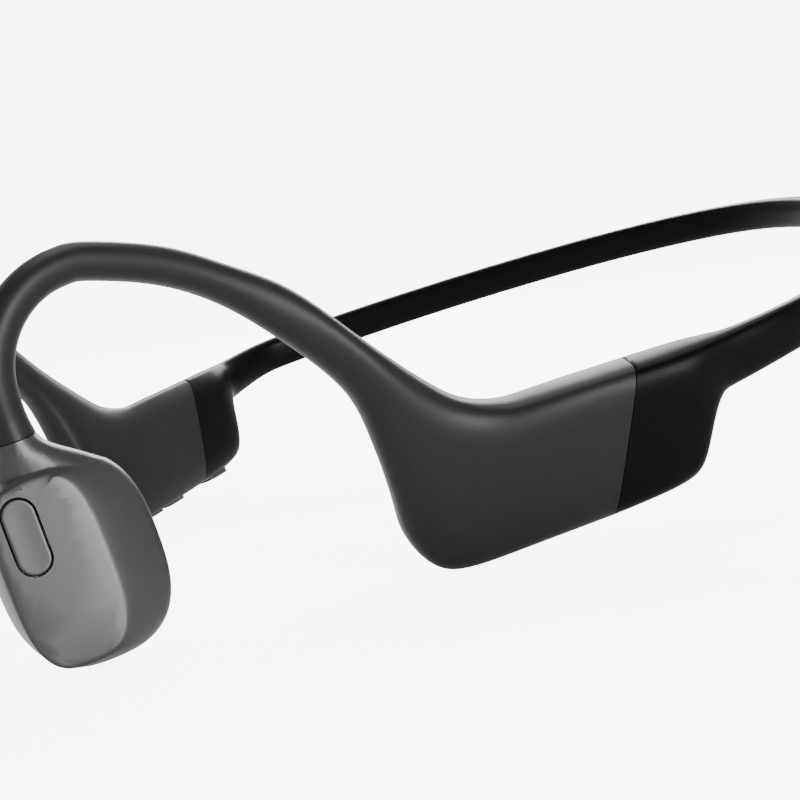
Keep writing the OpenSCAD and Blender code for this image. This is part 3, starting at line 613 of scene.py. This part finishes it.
def in_neck(side):
    """A test for points on the outside of a driver shell where its neck grows out of it."""

    def test(point, normal):
        worn = lean_back.transposed() @ (Vector((side * point.x, point.y, point.z)) - stand) / MM
        facing = lean_back.transposed() @ Vector((side * normal.x, normal.y, normal.z))
        place = worn - DRIVER_AT
        out, back, up = driver_worn.transposed() @ place
        off_bore = math.hypot(worn.x - DRIVER_AT.x, worn.y - BORE_Y)
        in_bore = off_bore < BORE_RADIUS and worn.z > BORE_BOTTOM
        outside = facing.dot(place) > 0 and not in_bore
        return NECK_BOTTOM < up < NECK_TOP and out > NECK_INNER and outside

    return test


left_out = driver_axes.col[0]
right_out = Vector((-left_out.x, left_out.y, left_out.z))
for node in ("left_hook_sheath", "right_hook_sheath", "neckband_cover"):
    flowing(node)
for side, way in (("left", left_out), ("right", right_out)):
    shell = flowing(side + "_driver_shell", facet=way)
    soften(shell, in_neck(1 if side == "left" else -1), 2, 60)
    smooth(shell, SHARP)
    flowing(side + "_driver_cover", facet=-way)

# %% [markdown]
# The button and the keys start as the same pill: a filled circle whose two halves are pulled apart,
# and which is then extruded. A box with bevelled corners would do too, but its ends would not be
# true half circles.

# %% A pill
NEAR_ZERO = 1e-9
NEAR_PLANE = 1e-6


def pill(name, length, width, height, sides=64):
    """A pill along Y with its foot at z 0, in metres."""
    nothing_selected()
    bpy.ops.mesh.primitive_circle_add(vertices=sides, radius=width / 2, fill_type="NGON")
    obj = bpy.context.object
    obj.name = name
    pull = (length - width) / 2
    bpy.ops.object.mode_set(mode="EDIT")
    for side in (1, -1):
        pick(obj, "verts", lambda p, n: p.y * side > -NEAR_ZERO)
        if side > 0:
            bpy.ops.transform.translate(value=(0, pull, 0))
        else:
            pick(obj, "verts", lambda p, n: p.y < pull - NEAR_ZERO)
            bpy.ops.transform.translate(value=(0, -pull, 0))
    bpy.ops.mesh.select_all(action="SELECT")
    bpy.ops.mesh.extrude_region_move(TRANSFORM_OT_translate={"value": (0, 0, height)})
    bpy.ops.mesh.select_all(action="SELECT")
    bpy.ops.mesh.normals_make_consistent(inside=False)
    bpy.ops.object.mode_set(mode="OBJECT")
    return obj


def top_of(height):
    """A test for faces that look up at that height."""
    return lambda p, n: n.z > 0.9 and p.z > height - NEAR_PLANE


print("pill ready")

# %% [markdown]
# The multifunction button is a cap on the left driver's flat facet, and it is tilted with its
# driver. The cap's top is inset and sunk by a hair, so that a finger finds it, and its rim is
# bevelled.

# %% Multifunction button
CAP_LENGTH, CAP_WIDTH, CAP_HEIGHT = 8.6 * MM, 3.8 * MM, 1.35 * MM
CAP_RIM, CAP_DISH = 0.4 * MM, 0.02 * MM
CAP_FOOT = (4.4, -4.6, 4.8)
straight = (CAP_LENGTH - CAP_WIDTH) / 2


def on_cap_rim(p, n):
    """Edges round the top's outline, which the insets inside it don't reach."""
    from_spine = Vector((p.x, max(0, abs(p.y) - straight), 0)).length
    return abs(p.z - CAP_HEIGHT) < NEAR_PLANE and from_spine > CAP_WIDTH / 2 - 0.02 * MM


button = pill("button_cap", CAP_LENGTH, CAP_WIDTH, CAP_HEIGHT)
bpy.ops.object.mode_set(mode="EDIT")
pick(button, "faces", top_of(CAP_HEIGHT))
bpy.ops.mesh.inset(thickness=CAP_RIM)
bpy.ops.mesh.inset(thickness=0.5 * MM, depth=-CAP_DISH)
pick(button, "edges", on_cap_rim)
bpy.ops.mesh.bevel(offset=0.22 * MM, segments=4)
bpy.ops.object.mode_set(mode="OBJECT")
smooth(button, 40)
out, back, up = driver_axes.transposed()
settle(button, seat(in_driver(*CAP_FOOT), back, up, out))
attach(button, "multifunction_button")
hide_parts("multifunction_button")
paint(button, cap_plastic)
print("button cap", len(button.data.polygons), "faces")

# %% [markdown]
# The volume keys stand in the underside of the right pod. Each is a flange that holds it in, and a
# shorter pill above. A plus and a minus are raised on their ends, so that they can be told by touch.

# %% Volume keys
FLANGE_LENGTH, FLANGE_WIDTH, FLANGE_HEIGHT = 5.7 * MM, 3.3 * MM, 0.35 * MM
FLANGE_BORDER = 0.35 * MM
STEM_HEIGHT = 1.42 * MM
BAR_MIDDLE, BAR_HEIGHT = 1.79 * MM, 0.12 * MM
KEY_FOOT_UP = -16.95
UP_KEY_BACK, DOWN_KEY_BACK = -20.2, -14.0
BAR_ALONG, BAR_ACROSS = (0.3, 1.5), (1.5, 0.3)


def volume_key(node, back_mm, bars):
    """A key back_mm behind the seam's top, with raised bars of (across, along) mm."""
    key = pill("soft_" + node, FLANGE_LENGTH, FLANGE_WIDTH, FLANGE_HEIGHT)
    bpy.ops.object.mode_set(mode="EDIT")
    pick(key, "faces", top_of(FLANGE_HEIGHT))
    bpy.ops.mesh.inset(thickness=FLANGE_BORDER)
    bpy.ops.mesh.extrude_region_move(TRANSFORM_OT_translate={"value": (0, 0, STEM_HEIGHT)})
    bpy.ops.mesh.region_to_loop()
    bpy.ops.mesh.bevel(offset=0.25 * MM, segments=3)
    bpy.ops.object.mode_set(mode="OBJECT")
    parts = [key]
    for across, along in bars:
        nothing_selected()
        bpy.ops.mesh.primitive_cube_add(
            size=1, location=(0, 0, BAR_MIDDLE), scale=(across * MM, along * MM, BAR_HEIGHT)
        )
        bpy.ops.object.transform_apply(location=True, rotation=True, scale=True)
        modify(bpy.context.object, "BEVEL", width=0.04 * MM, segments=2)
        parts.append(bpy.context.object)
    nothing_selected()
    for part in parts:
        part.select_set(True)
    bpy.context.view_layer.objects.active = key
    bpy.ops.object.join()
    smooth(key, 40)
    outward, backward, upwards = pod_axes.transposed()
    settle(key, seat(in_pod(0, back_mm, KEY_FOOT_UP), outward, backward, -upwards))
    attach(key, node)
    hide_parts(node)
    paint(key, key_plastic)
    print(key.name, len(key.data.polygons), "faces")


volume_key("volume_up_key", UP_KEY_BACK, [BAR_ALONG, BAR_ACROSS])
volume_key("volume_down_key", DOWN_KEY_BACK, [BAR_ALONG])

# %% [markdown]
# The status light is the end of a clear pin. Its outer end is a shallow dome, which spreads the
# light, made by insetting the end of a cylinder and lifting its middle.

# %% Status light
PIN_RADIUS, PIN_LENGTH = 0.5 * MM, 2.2 * MM
PIN_TIP = (0, -6.1, -18.15)
PIN_REACH = 2.25 * MM

nothing_selected()
bpy.ops.mesh.primitive_cylinder_add(
    vertices=48, radius=PIN_RADIUS, depth=PIN_LENGTH, location=(0, 0, PIN_LENGTH / 2)
)
lens = bpy.context.object
lens.name = "light_pin"
bpy.ops.object.transform_apply(location=True, rotation=True, scale=True)
bpy.ops.object.mode_set(mode="EDIT")
pick(lens, "faces", top_of(PIN_LENGTH))
for thickness, lift in ((0.08, 0.0), (0.1, 0.03), (0.12, 0.02)):
    bpy.ops.mesh.inset(thickness=thickness * MM, depth=lift * MM)
bpy.ops.object.mode_set(mode="OBJECT")
smooth(lens, 40)
outward, backward, upwards = pod_axes.transposed()
settle(lens, seat(in_pod(*PIN_TIP) + upwards * PIN_REACH, outward, backward, -upwards))
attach(lens, "headset")
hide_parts("status_light")
paint(lens, light_pipe)
print("light pin", len(lens.data.polygons), "faces")
